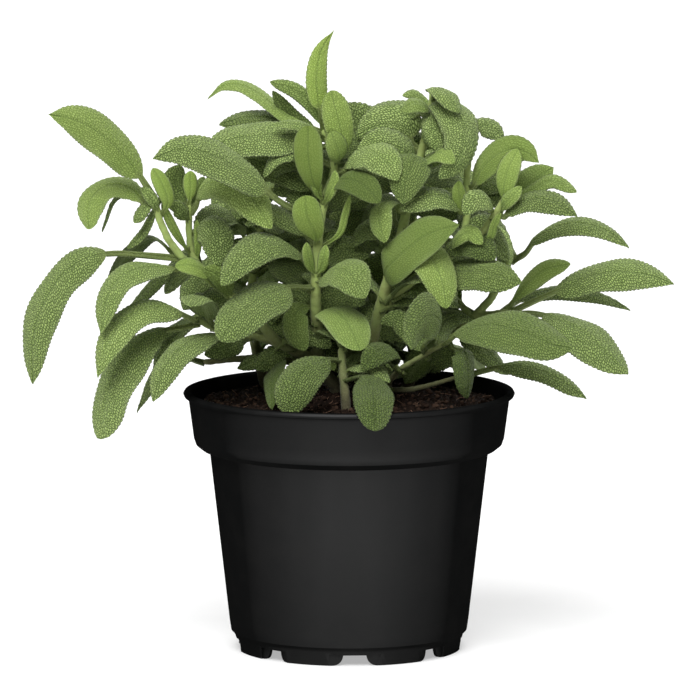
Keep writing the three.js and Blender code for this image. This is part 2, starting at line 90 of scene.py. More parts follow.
def interpolate(knots, values, at):
    """A smooth curve through the values at the knots, read at other places."""
    slopes = np.gradient(values, knots, axis=0)
    i = np.clip(np.searchsorted(knots, at) - 1, 0, len(knots) - 2)
    width = (knots[i + 1] - knots[i])[:, None]
    t = (at - knots[i])[:, None] / width
    start = (2 * t**3 - 3 * t**2 + 1) * values[i] + (t**3 - 2 * t**2 + t) * slopes[i] * width
    end = (3 * t**2 - 2 * t**3) * values[i + 1] + (t**3 - t**2) * slopes[i + 1] * width
    return start + end


def lengths_along(points):
    """How far along a chain of points each of them lies."""
    return np.concatenate([[0], np.cumsum(np.linalg.norm(np.diff(points, axis=0), axis=1))])


def scatter(i, j, seed):
    """A repeatable number from 0 to 1 for each cell of a grid."""
    return np.mod(np.sin(i * 127.1 + j * 311.7 + seed * 74.7) * 43758.5453, 1.0)


def vectors_of(items, key):
    """One vector from each item of a mesh, as rows."""
    values = np.empty(len(items) * 3)
    items.foreach_get(key, values)
    return values.reshape(-1, 3)


def tree_of(pieces):
    """A search tree over the surfaces of some objects, in millimetres."""
    points, faces = [], []
    for piece in pieces:
        start = len(points)
        points += [vertex.co / MM for vertex in piece.data.vertices]
        faces += [[start + v for v in face.vertices] for face in piece.data.polygons]
    return BVHTree.FromPolygons(points, faces)


def ring_faces(grid):
    """The faces between rings of points, one ring in each row of the grid."""
    over = np.roll(grid, -1, axis=1)
    return np.stack([grid[:-1], over[:-1], over[1:], grid[1:]], axis=-1).reshape(-1, 4)


def tube_faces(grid):
    """The faces round a tube of rings, with a lid at both ends."""
    return [*ring_faces(grid).tolist(), grid[0][::-1].tolist(), grid[-1].tolist()]


# ---- Pieces ----
# A shape is its points, its faces, and for each attribute the values at the points.
def joined(shapes):
    """Several shapes as one."""
    points, faces, attributes, start = [], [], {}, 0
    for own, own_faces, own_attributes in shapes:
        points.append(own)
        faces += [[start + v for v in face] for face in own_faces]
        start += len(own)
        for key, values in own_attributes.items():
            attributes.setdefault(key, []).append(values)
    attributes = {key: np.concatenate(values) for key, values in attributes.items()}
    return np.concatenate(points), faces, attributes


def present(name, mesh, material, stands_for=()):
    """A mesh shown as a piece that stands for some CAD nodes."""
    mesh.name = name
    mesh.materials.clear()
    mesh.materials.append(material)
    mesh.shade_smooth()
    piece = bpy.data.objects.new(name, mesh)
    bpy.context.collection.objects.link(piece)
    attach(piece, "root")
    if stands_for:
        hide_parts(*stands_for)


def show(name, shape, material, stands_for=()):
    """A shape made into a mesh and presented."""
    points, faces, attributes = shape
    mesh = bpy.data.meshes.new(name)
    mesh.from_pydata((points * MM).tolist(), [], faces)
    for key, values in attributes.items():
        kind, field = ("FLOAT_VECTOR", "vector") if values.ndim == 2 else ("FLOAT", "value")
        data = mesh.attributes.new(key, kind, "POINT").data
        data.foreach_set(field, values.astype(np.float32).ravel())
    present(name, mesh, material, stands_for)


def rough_copy(node):
    """A copy of a CAD node, to be reshaped with modifiers."""
    rough = bpy.data.objects.new(f"{node}_rough", NODES[node].data.copy())
    bpy.context.collection.objects.link(rough)
    return rough


def applied(rough):
    """A rough copy's mesh with its modifiers applied. The copy itself is removed."""
    graph = bpy.context.evaluated_depsgraph_get()
    mesh = bpy.data.meshes.new_from_object(rough.evaluated_get(graph))
    bpy.data.objects.remove(rough)
    return mesh


# ---- Reading the CAD leaves ----
def merged(node):
    """A CAD node's distinct points, and each one's neighbours."""
    data = NODES[node].data
    raw = vectors_of(data.vertices, "co") / MM
    points, index = np.unique(np.round(raw, 3), axis=0, return_inverse=True)
    index = index.ravel()
    near = [set() for _ in points]
    for edge in data.edges:
        a, b = (index[v] for v in edge.vertices)
        if a != b:
            near[a].add(b)
            near[b].add(a)
    return points, near


def steps_from(start, near):
    """How many edges lie between one point and each other point."""
    steps = np.full(len(near), -1)
    steps[start] = 0
    reached = [start]
    for point in reached:
        for other in near[point]:
            if steps[other] < 0:
                steps[other] = steps[point] + 1
                reached.append(other)
    return steps


def rib_of_ring(ring):
    """The rib's upper and lower points, and half the ring's width."""
    apart = np.linalg.norm(ring[:, None] - ring[None], axis=-1)
    left, right = np.unravel_index(apart.argmax(), apart.shape)
    centre = (ring[left] + ring[right]) / 2
    across = unit(ring[right] - ring[left])
    half = np.linalg.norm(ring[right] - ring[left]) / 2
    rest = [i for i in range(len(ring)) if i not in (left, right)]
    rest.sort(key=lambda i: abs((ring[i] - centre) @ across))
    middle, sides = ring[rest[:2]], ring[rest[2:]]
    shoulder = sides.mean(axis=0)
    gaps = np.linalg.norm(middle - shoulder, axis=1)
    return middle[gaps.argmin()], middle[gaps.argmax()], half


CAD_RINGS = 9
CAD_RIB_RISE = 0.2  # from the spine to the rib's upper point
CAD_FIRST_SHARE = 0.6  # the second ring's place along the petiole
CAD_WIDEST_RING = 5
CAD_WIDEST_SHARE = 0.994  # that ring's share of the blade's true width


def read_leaf(node):
    """A CAD leaf's spine, the way its upper side looks, its width and its petiole's share."""
    points, near = merged(node)
    one_end = 0
    for _ in range(3):  # three walks to the farthest point end at a tip
        one_end = steps_from(one_end, near).argmax()
    steps = steps_from(one_end, near)
    other_end = steps.argmax()
    if steps[other_end] != CAD_RINGS + 1:
        raise ValueError(f"{node} has {steps[other_end] - 1} rings")
    ribs = [rib_of_ring(points[steps == k]) for k in range(1, CAD_RINGS + 1)]
    tip = points[other_end]
    if ribs[-1][2] < ribs[0][2]:
        ribs, tip = ribs[::-1], points[one_end]
    upper, lower, half = (np.array(part) for part in zip(*ribs))
    normals = unit(upper - lower)
    spine = np.vstack([upper - CAD_RIB_RISE * normals, tip])
    normals = np.vstack([normals, normals[-1]])
    far = lengths_along(spine)
    return {
        "spine": spine,
        "normals": normals,
        "width": 2 * half[CAD_WIDEST_RING] / CAD_WIDEST_SHARE,
        "petiole": far[1] / CAD_FIRST_SHARE / far[-1],
    }


def free_leaf(guides, face, width, petiole=0.12):
    """The same, for a leaf that is given by points along its spine."""
    guides = np.array(guides, float)
    far = lengths_along(guides)
    spine = interpolate(far, guides, np.linspace(0, far[-1], CAD_RINGS + 1))
    along = unit(np.gradient(spine, axis=0))
    normals = np.empty_like(spine)
    middle = len(spine) // 2
    normals[middle] = squared(np.array(face, float), along[middle])
    for i in range(middle - 1, -1, -1):
        normals[i] = squared(normals[i + 1], along[i])
    for i in range(middle + 1, len(spine)):
        normals[i] = squared(normals[i - 1], along[i])
    return {"spine": spine, "normals": normals, "width": width, "petiole": petiole}


# ---- Growing a fine leaf ----
LEAST_ROWS, LEAST_COLUMNS, LEAST_UNDER = 14, 8, 6
QUILT = 2.3  # how far apart the blade's swellings lie
QUILT_RISE = 0.34
QUILT_SCATTER = 0.85  # how far they may stray, as a share of QUILT
QUILT_SEAM = 0.6  # how wide the dips between them are, likewise
VEIN_SLANT = 0.7  # how far a side vein climbs for each step it goes out
RIB_FURROW = 0.42  # on the upper side
RIB_RIDGE = 0.8  # on the lower side
TOOTH = 1.8
TOOTH_DEPTH = 0.62
RIM_POWER = 9
BLADE_THICKNESS = 0.5
PETIOLE_THICKNESS = 1.5
PETIOLE_HALF = 1.15
SINK = 1.3  # how far a leaf's foot runs into its stem
SPREAD = 1.07  # a rolled blade is wider than the CAD's flat one
BASE_SHARE = 0.07  # where the blade has opened out of its petiole
BASE_ROUNDNESS = 0.6
# A blade's belly, its fullness and how pointed its tip is.
FULL = (0.93, 2.25, 0.78)
YOUNG = (1.25, 2.3, 0.62)
POINTED = (0.88, 2.35, 1.05)
BLUNT = (1.05, 2.5, 0.55)
SPOON = (1.5, 2.5, 0.55)
SLENDER = (0.75, 2.0, 1.1)
WHIP = (0.58, 1.8, 1.3)
HEART = (0.6, 2.4, 0.75)


def blade_of(age):
    """The usual blade at an age from 0, just open, to 1, full grown."""
    young, grown = np.array(YOUNG), np.array(FULL)
    return young + (grown - young) * age


def blade_outline(share, blade):
    """Half-width of the blade as a share of its widest, from its base to its tip."""
    belly, full, point = blade
    share = np.clip(share, 0, 1)
    power = BASE_ROUNDNESS + (point - BASE_ROUNDNESS) * share**4
    return (1 - np.abs(1 - 2 * share**belly) ** full) ** power


def stalk_outline(at, share, petiole, width):
    """Half-width of the petiole, which runs on inside the blade to its tip."""
    bare = PETIOLE_HALF * min(1, 0.45 + width / 18) * (1.25 - 0.35 * at / petiole)
    return np.where(share < 0, bare, 0.75 * PETIOLE_HALF * (1 - np.clip(share, 0, 1)))


def rows_along(count):
    """Where a leaf's rows lie, from 0 to 1. The last ones crowd up to round the tip."""
    at = np.linspace(0, 1, count + 1)
    at[-3:-1] += (1 / count) * np.array([0.2, 0.45])
    at[-1] = 0.9985
    return at


def swellings(across, along, seed):
    """How far each place is from the line between two swellings: 0 on the line, 1 well off it."""
    x = across / QUILT
    y = along / QUILT
    row, column = np.floor(y), np.floor(x)
    nearest = np.full(x.shape, 9.0)
    second = nearest.copy()
    for down in (-1, 0, 1):
        for over in (-1, 0, 1):
            i, j = column + over, row + down
            centre_x = i + 0.5 + QUILT_SCATTER * (scatter(i, j, seed) - 0.5)
            centre_y = j + 0.5 + QUILT_SCATTER * (scatter(j, i, seed + 3.3) - 0.5)
            apart = np.hypot(x - centre_x, y - centre_y)
            second = np.minimum(second, np.maximum(apart, nearest))
            nearest = np.minimum(nearest, apart)
    return np.clip((second - nearest) / QUILT_SEAM, 0, 1)


class FineLeaf:
    """A leaf as rings of places round its spine. v runs across it, from -1 to 1."""

    def __init__(self, leaf, age, seed, cell=0.5, droop=0.3, blade=None):
        """cell is about a face's size, and the seed shifts the swellings and teeth."""
        self.age = age
        self.seed = seed
        self.droop = droop
        foot, after = leaf["spine"][:2]
        spine = np.vstack([foot - SINK * unit(after - foot), leaf["spine"]])
        normals = np.vstack([leaf["normals"][0], leaf["normals"]])
        far = lengths_along(spine)
        at = rows_along(max(LEAST_ROWS, int(far[-1] / cell)))
        self.columns = max(LEAST_COLUMNS, int(1.2 * leaf["width"] / cell) // 2 * 2)
        self.centre = interpolate(far, spine, at * far[-1])
        along = unit(np.gradient(self.centre, axis=0))
        self.normal = squared(interpolate(far, normals, at * far[-1]), along)
        self.across = np.cross(along, self.normal)
        self.at = at[:, None]
        self.along = self.at * far[-1]
        bare = lengths_along(leaf["spine"])[-1]
        petiole = (leaf["petiole"] * bare + SINK) / (bare + SINK)
        self.share = (self.at - petiole) / (1 - petiole)
        self.leafy = np.clip(self.share / BASE_SHARE, 0, 1)
        outline = blade_outline(self.share, blade_of(age) if blade is None else blade)
        stalk = stalk_outline(self.at, self.share, petiole, leaf["width"])
        self.half = np.maximum(leaf["width"] / 2 * SPREAD * outline, stalk)

    def rib(self, v):
        """How near each place is to the midrib: 1 on it, 0 away from it."""
        return np.exp(-((v * self.half / (0.22 + 0.025 * self.half)) ** 2)) * self.leafy

    def bend(self, v):
        """How far the blade's sides hang down, with a slow wave along them."""
        hang = -self.droop * self.half * np.abs(v) ** 1.9
        wave = self.leafy * 0.07 * self.half * np.sin(self.along / 4.3 + self.seed) * v * np.abs(v)
        return hang + wave

    def upper(self, v):
        """The upper side's height: quilted, and grooved along the petiole."""
        a = v * self.half
        near_edge = np.clip((1 - np.abs(v)) / 0.1, 0, 1)
        near_tip = np.clip((1 - self.share) / 0.03, 0, 1)
        fade = self.leafy * near_edge * near_tip
        bumps = swellings(a * 0.85 + 40, self.along - VEIN_SLANT * np.abs(a) + 40, self.seed)
        quilt = QUILT_RISE * (0.15 + 0.85 * self.age) * (bumps - 0.5) * fade
        groove = (1 - self.leafy) * 0.35 * (1 - 2 * np.exp(-((v / 0.45) ** 2)))
        return self.bend(v) - RIB_FURROW * self.rib(v) + quilt + groove

    def lower(self, v):
        """The lower side's height, with a ridge along the midrib."""
        round_off = np.sqrt(np.clip(1 - v**4, 0, 1))
        thick = BLADE_THICKNESS * self.leafy + PETIOLE_THICKNESS * (1 - self.leafy)
        ridge = RIB_RIDGE * self.rib(v) * (1.15 - self.at)
        return self.bend(v) - (thick + ridge) * round_off

    def reach(self, v):
        """How far out each place lies, with teeth along the edge."""
        tooth = TOOTH_DEPTH * self.leafy * (np.abs(np.sin(np.pi * self.along / TOOTH + self.seed)) - 0.6)
        tooth = tooth * np.clip(self.half / 4, 0, 1) * (0.25 + 0.75 * self.age)
        return v * (self.half + tooth * np.abs(v) ** 8)

    def flattened(self, reach):
        """Where each place lies on the flattened leaf, for the pebble pattern."""
        out = reach + 61 * self.seed
        up = self.along - VEIN_SLANT * np.abs(reach) + 43 * self.seed
        return np.stack([out, up, 0 * reach], axis=-1)

    def shape(self, tone, fresh):
        """The whole leaf, with its painted light (1 keeps its colour, lower paints shade into it) and a
        freshness for its material.
        """
        top = np.linspace(-1, 1, self.columns + 1)
        low = np.linspace(1, -1, max(LEAST_UNDER, self.columns // 4 // 2 * 2) + 1)[1:-1]
        v = np.concatenate([top, low])
        reach = self.reach(v)
        height = np.concatenate([self.upper(top), self.lower(low)], axis=1)
        points = self.centre[:, None] + self.across[:, None] * reach[..., None]
        points = points + self.normal[:, None] * height[..., None]
        below = np.repeat([0.0, 1.0], [len(top), len(low)])
        fields = {
            "rib": self.rib(v),
            "below": below,
            "stalk": 1 - self.leafy,
            "age": self.age,
            "rim": np.abs(v) ** RIM_POWER * self.leafy * (1 - below),
            "tone": tone,
            "fresh": fresh,
        }
        attributes = {key: np.broadcast_to(values, height.shape).ravel() for key, values in fields.items()}
        attributes["lie"] = self.flattened(reach).reshape(-1, 3)
        faces = tube_faces(np.arange(height.size).reshape(height.shape))
        return points.reshape(-1, 3), faces, attributes


# ---- Materials ----
PEBBLE = 1.0


class Graph:
    """A material, with short names for the few nodes needed here."""

    def __init__(self, name):
        self.material = bpy.data.materials.new(name)
        self.material.use_nodes = True
        self.tree = self.material.node_tree
        self.shader = self.tree.nodes["Principled BSDF"]
        self.place = self.node("TexCoord", {})["Object"]

    def put(self, socket, value):
        """Links a node's output to a socket, or sets the socket's own value."""
        if isinstance(value, bpy.types.NodeSocket):
            self.tree.links.new(value, socket)
        elif isinstance(value, tuple) and len(value) == 3 and len(socket.default_value) == 4:
            socket.default_value = (*value, 1)
        else:
            socket.default_value = value

    def node(self, kind, inputs, **settings):
        """The outputs of a new node with those inputs and settings."""
        node = self.tree.nodes.new(f"ShaderNode{kind}")
        for key, value in settings.items():
            setattr(node, key, value)
        for key, value in inputs.items():
            self.put(node.inputs[key], value)
        return node.outputs

    def number(self, attribute):
        """One of the numbers that the mesh holds at each point."""
        return self.node("Attribute", {}, attribute_name=attribute)["Fac"]

    def height(self):
        """How high each place lies in the part's frame."""
        return self.node("SeparateXYZ", {"Vector": self.place})["Z"]

    def noise(self, size, detail=2.0, rough=0.5):
        """Noise whose lumps are about that many millimetres across."""
        scale = 1 / (size * MM)
        inputs = {"Vector": self.place, "Scale": scale, "Detail": detail, "Roughness": rough}
        return self.node("TexNoise", inputs)["Fac"]

    def pebbles(self, randomness):
        """How far each place of a leaf lies from the edge of its pebble."""
        lie = self.node("Attribute", {}, attribute_name="lie")["Vector"]
        inputs = {"Vector": lie, "Scale": 1 / PEBBLE, "Randomness": randomness}
        kind = {"voronoi_dimensions": "2D", "feature": "DISTANCE_TO_EDGE"}
        return self.node("TexVoronoi", inputs, **kind)["Distance"]

    def span(self, value, low, high, to_low=0.0, to_high=1.0):
        """A value between two ends, moved to lie the same way between two others."""
        inputs = {"Value": value, "From Min": low, "From Max": high, "To Min": to_low, "To Max": to_high}
        return self.node("MapRange", inputs)["Result"]

    def mix(self, share, a, b, way="MIX"):
        """Colour a with a share of colour b mixed or multiplied in."""
        return self.node("Mix", {"Factor": share, 6: a, 7: b}, data_type="RGBA", blend_type=way)[2]

    def math(self, way, a, b):
        """Two values added or multiplied."""
        return self.node("Math", {0: a, 1: b}, operation=way)[0]

    def bump(self, height, depth):
        """A bump that stands that many millimetres proud."""
        normal = self.node("Bump", {"Height": height, "Distance": depth * MM})["Normal"]
        self.put(self.shader.inputs["Normal"], normal)

    def finish(self, colour, roughness, **settings):
        """The material, with its shader set."""
        self.put(self.shader.inputs["Base Color"], colour)
        self.put(self.shader.inputs["Roughness"], roughness)
        for key, value in settings.items():
            self.put(self.shader.inputs[key.replace("_", " ")], value)
        return self.material


# A leaf's colours. A pair runs from the seam between two pebbles to the top of a pebble.
# The dark seams are partly the leaf's own colour and partly painted shade, and the pale tops
# partly the leaf's own colour and partly a painted highlight.
GROWN = ((0.06, 0.107, 0.017), (0.4, 0.52, 0.172))
OPENING = ((0.112, 0.18, 0.028), (0.245, 0.335, 0.076))
FRESH = ((0.19, 0.3, 0.028), (0.43, 0.56, 0.145))
UNDERSIDE = ((0.135, 0.195, 0.042), (0.2, 0.28, 0.074))
RIB_ABOVE = (0.12, 0.185, 0.045)
RIB_BELOW = (0.26, 0.34, 0.12)
RIM = (0.3, 0.34, 0.2)
PETIOLE = (0.2, 0.255, 0.075)
LEAF_DOWN = (0.45, 0.53, 0.34)
# These multiply the leaf's colour: BLOTCH in its blotches, and SHADE, a painted shade, where its painted
# light is low.
BLOTCH = (0.8, 0.88, 0.68)
SHADE = (0.26, 0.3, 0.17)


def leaf_material():
    """A downy sage leaf: pebbled above, paler and veined below, with painted shade and painted highlights in
    its colour.
    """
    g = Graph("sage_leaf")
    age, rib = g.number("age"), g.number("rib")
    # the pebble pattern's colours paint shade into the seams and a highlight onto the tops, over the leaf's
    # own colour
    pebble = g.span(g.pebbles(0.85), 0.02, 0.3)
    down = g.noise(0.45, 3, 0.6)
    opening = g.mix(g.span(pebble, 0, 1, 0.35, 0.8), *OPENING)
    upper = g.mix(age, opening, g.mix(pebble, *GROWN))
    upper = g.mix(g.number("fresh"), upper, g.mix(g.span(pebble, 0, 1, 0.35, 0.75), *FRESH))
    upper = g.mix(g.math("MULTIPLY", rib, 0.4), upper, RIB_ABOVE)
    upper = g.mix(g.math("MULTIPLY", g.number("rim"), 0.35), upper, RIM)
    under = g.mix(rib, g.mix(pebble, *UNDERSIDE), RIB_BELOW)
    colour = g.mix(g.number("below"), upper, under)
    colour = g.mix(g.number("stalk"), colour, PETIOLE)
    colour = g.mix(g.span(g.noise(9), 0.3, 0.75, 0, 0.5), colour, BLOTCH, "MULTIPLY")
    colour = g.mix(g.span(down, 0.5, 0.75, 0, 0.1), colour, LEAF_DOWN)
    # painted shade: the colour is multiplied towards SHADE where the leaf's painted light is low
    colour = g.mix(g.span(g.number("tone"), 0, 1, 0.95, 0.0), colour, SHADE, "MULTIPLY")
    rise = g.math("MULTIPLY", pebble, g.span(age, 0, 1, 0.2, 1.0))
    g.bump(g.math("ADD", rise, g.math("MULTIPLY", down, 0.25)), 0.36)
    sheen = {"Sheen_Weight": 0.16, "Sheen_Roughness": 0.5, "Sheen_Tint": (0.82, 0.94, 0.55)}
    return g.finish(colour, 0.65, Specular_IOR_Level=0.22, **sheen)


STEM = ((0.082, 0.074, 0.042), (0.32, 0.42, 0.125))
WOODY = (0.24, 0.2, 0.1)
GRAIN = (0.6, 0.55, 0.42)  # multiplies the stem's colour
STEM_DOWN = (0.45, 0.5, 0.26)


def stem_material():
    """Brown bark at the foot that turns green and downy higher up."""
    g = Graph("sage_stem")
    down = g.noise(0.35, 3, 0.6)
    colour = g.mix(g.span(g.height(), 0.1, 0.142), *STEM)
    colour = g.mix(g.span(g.noise(11), 0.5, 0.75, 0, 0.35), colour, WOODY)
    colour = g.mix(g.span(g.noise(2.2, 3, 0.6), 0.4, 0.7, 0, 0.5), colour, GRAIN, "MULTIPLY")
    colour = g.mix(g.span(down, 0.5, 0.75, 0, 0.25), colour, STEM_DOWN)
    g.bump(down, 0.08)
    return g.finish(colour, 0.8, Sheen_Weight=0.12, Specular_IOR_Level=0.2)


COMPOST = ((0.004, 0.0023, 0.0016), (0.021, 0.0115, 0.0075))
COMPOST_GRAINS = (0.045, 0.024, 0.015)
STRAW = (0.28, 0.165, 0.11)


def compost_material():
    """Dark compost with brown patches and pale fibres."""
    g = Graph("compost")
    fine = g.noise(0.8, 4, 0.7)
    colour = g.mix(g.span(g.noise(4, 4, 0.65), 0.35, 0.7), *COMPOST)
    colour = g.mix(g.span(fine, 0.5, 0.75, 0, 0.7), colour, COMPOST_GRAINS)
    colour = g.mix(g.number("bright"), colour, STRAW)
    g.bump(fine, 0.4)
    return g.finish(colour, 0.93, Specular_IOR_Level=0.12)


PLASTIC = ((0.0052, 0.0054, 0.0054), (0.0072, 0.0072, 0.007))


def pot_material():
    """Black plastic, less glossy where its wall turns away, near its foot and on its collar."""
    g = Graph("pot_plastic")
    dusty = g.noise(14, 4, 0.6)
    colour = g.mix(g.span(dusty, 0.4, 0.75), *PLASTIC)
    turned = g.node("LayerWeight", {"Blend": 0.9})["Facing"]
    gloss = g.span(turned, 0.32, 0.95, 0.29, 0.0)
    height = g.height()
    gloss = g.math("MULTIPLY", gloss, g.span(height, 0.015, 0.055, 0.72, 1.0))
    gloss = g.math("MULTIPLY", gloss, g.span(height, 0.083, 0.087, 1.0, 0.75))
    g.bump(g.noise(0.6), 0.02)
    g.shader.inputs["Specular IOR Level"].default_value = 0.25
    return g.finish(colour, g.span(dusty, 0.3, 0.7, 0.45, 0.52), Specular_IOR_Level=gloss)


def floor_material():
    """A pale sheet, lit a little from below."""
    g = Graph("pale_floor")
    colour = g.mix(g.span(g.noise(60), 0.3, 0.7), (0.56, 0.56, 0.56), (0.58, 0.58, 0.58))
    glow = {"Emission_Color": (1, 1, 1), "Emission_Strength": 0.42}
    return g.finish(colour, 0.9, Specular_IOR_Level=0.1, **glow)


# ---- The CAD leaves, grown fine ----
class Look(NamedTuple):
    """What sets a CAD leaf apart. None keeps the leaf's own, or the usual blade of its age."""

    tone: float = 0.85  # how lit its colour is painted, from 0, the darkest painted shade, to 1, none
    age: float = 1  # from 0, just open, to 1, full grown
    fresh: float = 0  # how yellow and bright it still is, from 0 to 1
    blade: tuple | None = None
    width: float | None = None
    petiole: float | None = None
    roll: float = 0  # how far it is turned about its spine, in degrees


# A leaf's first number is its painted light: below 1, painted shade darkens its colour.
LOOKS = {}
LOOKS["middle"] = {
    1: Look(0.74, 1, 0, (0.88, 2.8, 1.0), None, 0.3),
    2: Look(0.35, 0.7, 0, SLENDER),
    3: Look(0.9, 0.8, 0, POINTED, 13.5),
    4: Look(1, 1, 0.15, POINTED),
    5: Look(0.9, 1, 0, BLUNT, 20.5),
    6: Look(0.72, blade=FULL),
    7: Look(0.35, blade=SLENDER),
    8: Look(1, 0.55, 0.3, POINTED, 15),
    9: Look(1, 0.6, 0.4, BLUNT, 14),
    10: Look(blade=POINTED),
    # This full-grown leaf lies under the one above it; its freshness also brightens it as painted light.
    11: Look(1, 1, 0.45, FULL, 17),
    12: Look(0.95, blade=POINTED),
    13: Look(1, 0.5, 0.2, SLENDER, 9),
    14: Look(1, 0.45, 0.9, WHIP, 8.2),
    15: Look(1, 0.6, 0.55, BLUNT, 11.5),
    16: Look(0.47, 0.1, 0.45, SPOON),
    17: Look(0.8, 0.2, 0.5, SPOON),
    18: Look(0.74, 0.7, 0, FULL),
    19: Look(0.85, 0.3, 0, BLUNT),
    20: Look(0.66),
    21: Look(0.58, 1, 0, (0.8, 2.9, 0.6), 18, 0.28),
    22: Look(1, 1, 0.1),
    23: Look(0.2, 0.3),
    24: Look(0, 0.4, 0, FULL),
}
LOOKS["front"] = {
    1: Look(0.22, 1, 0, BLUNT, 16),
    2: Look(0, 1, 0, BLUNT, 15),
}
LOOKS["right"] = {
    1: Look(0.5, 0.2, 0.1, POINTED, 17),
    2: Look(1, 0.7, 0.45, width=16),
    3: Look(1, 0.5, 0.15, width=11),
    4: Look(0.44, 0.8, width=14.5),
    5: Look(1, 1, 0, FULL, 17, roll=-35),
    6: Look(0.92, 1, 0, HEART, 17, 0.04),
    7: Look(0.7, width=13, roll=-20),
    8: Look(0.92, width=17),
    9: Look(0.6, 0.3, 0.35, POINTED, 11.5),
    10: Look(0.82, 0.3, 0, POINTED, 12),
    11: Look(0.48, blade=POINTED),
    12: Look(0.95, width=12),
    13: Look(0.4, 1, 0.15, POINTED, 15),
    14: Look(0.1, width=13),
}
LOOKS["low_right"] = {
    1: Look(0.36, 0.75),
    2: Look(0.6, blade=POINTED),
    3: Look(0.34, 0.9, width=17),
    4: Look(0, width=11),
    5: Look(0, 0.8),
}
LOOKS["back_right"] = {
    1: Look(0.65, 0.9, 0, POINTED),
    2: Look(blade=POINTED),
    3: Look(0.64, blade=(0.93, 2.4, 0.9)),
    4: Look(0.35, blade=POINTED),
}


def rolled(leaf, degrees):
    """The same leaf, turned about its spine."""
    along = unit(np.gradient(leaf["spine"], axis=0))
    turn = math.radians(degrees)
    leaf["normals"] = math.cos(turn) * leaf["normals"] + math.sin(turn) * np.cross(along, leaf["normals"])
    return leaf


def grow_leaves(material):
    """A fine leaf in place of every CAD leaf."""
    for i, node in enumerate(LEAVES):
        stem, number = node.split("_leaf_")
        look = LOOKS.get(stem, {}).get(int(number), Look())
        leaf = rolled(read_leaf(node), look.roll)
        leaf["width"] = look.width or leaf["width"]
        leaf["petiole"] = look.petiole or leaf["petiole"]
        droop = 0.12 + 0.2 * look.age
        fine = FineLeaf(leaf, look.age, seed=i * 1.7, droop=droop, blade=look.blade)
        show(f"{node}_blade", fine.shape(look.tone, look.fresh), material, [node])


# ---- Stems ----
STEM_CELL = 0.6
USUAL_BARK = 0.4  # how far it stands out past the smoothed CAD stem
BARK = {"low_right_stem": -0.15, "front_stem": 0.3}
BARK_LUMP = 0.1


def grow_stem(node, material):
    """A CAD stem, with its branches run into each other and its surface uneven."""
    rough = rough_copy(node)
    remesh = rough.modifiers.new("remesh", "REMESH")
    remesh.mode = "VOXEL"
    remesh.voxel_size = STEM_CELL * MM
    smooth = rough.modifiers.new("smooth", "SMOOTH")
    smooth.factor = 0.5
    smooth.iterations = 6
    mesh = applied(rough)
    points = vectors_of(mesh.vertices, "co") / MM
    normals = vectors_of(mesh.vertex_normals, "vector")
    lumps = np.sin(points[:, 2] * 1.9 + points[:, 0] * 0.7) * np.sin(points @ (1.1, 1.7, 0.4))
    points += normals * (BARK.get(node, USUAL_BARK) + BARK_LUMP * lumps)[:, None]
    mesh.vertices.foreach_set("co", (points * MM).ravel())
    present(f"{node}_bark", mesh, material, [node])


# ---- Small leaves ----
SMALL_CELL = 0.62
OUT = (0, -0.8, 0.5)
